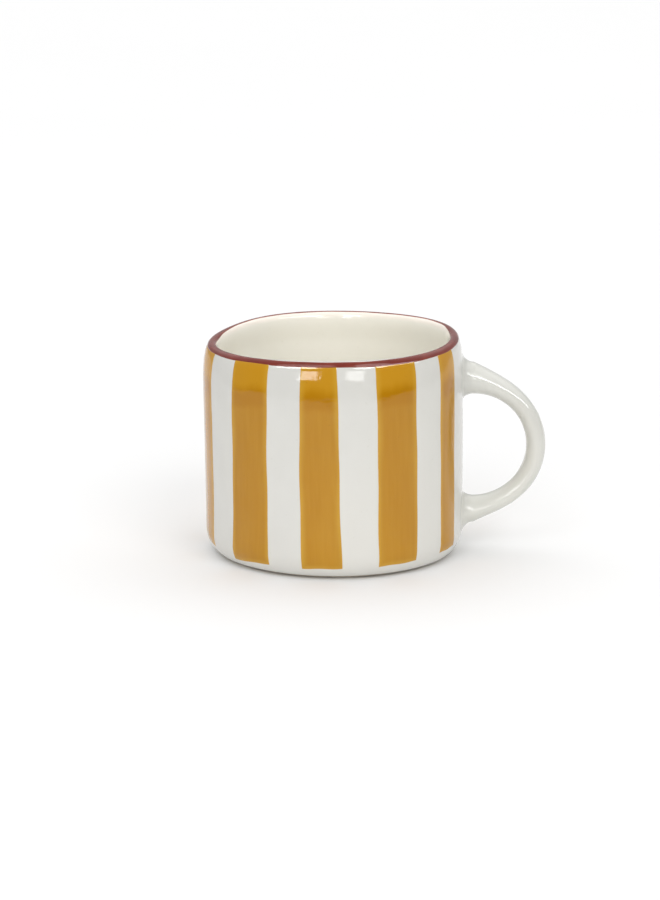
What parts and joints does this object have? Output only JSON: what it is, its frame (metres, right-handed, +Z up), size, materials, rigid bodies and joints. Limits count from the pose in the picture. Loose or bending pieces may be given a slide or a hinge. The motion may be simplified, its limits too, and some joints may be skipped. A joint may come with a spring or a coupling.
{
  "type": "mug",
  "caption": "Handmade-look stoneware mug with a D-shaped loop handle, white glaze, wide vertical hand-painted mustard stripes, a red-brown painted rim and a cream inside.",
  "frame": {"origin": "centre of the foot ring's resting plane, on the cup's own axis", "axes": "+Z up out of the mouth, +X towards the handle, -Y towards the side that shows the painted stripes with the handle at the right"},
  "size_m": [0.1255, 0.097, 0.081],
  "materials": {
    "bisque_clay": "bare, slightly rough fired clay",
    "white_glaze": "glossy off-white glaze with faint unevenness",
    "cream_liner": "glossy warm cream glaze",
    "mustard_paint": "brushed mustard underglaze under clear gloss",
    "rust_rim": "brushed red-brown line under clear gloss"
  },
  "bodies": {
    "root": {"cup_body": "bisque_clay", "handle": "bisque_clay", "handle_upper_joint": "bisque_clay", "handle_lower_joint": "bisque_clay", "inner_glaze": "cream_liner", "outer_glaze": "white_glaze", "handle_glaze": "white_glaze", "base_glaze": "white_glaze", "rim_band": "rust_rim", "stripe_01": "mustard_paint", "stripe_02": "mustard_paint", "stripe_03": "mustard_paint", "stripe_04": "mustard_paint", "stripe_05": "mustard_paint", "stripe_06": "mustard_paint", "stripe_07": "mustard_paint", "stripe_08": "mustard_paint", "stripe_09": "mustard_paint", "stripe_10": "mustard_paint"}
  },
  "joints": []
}
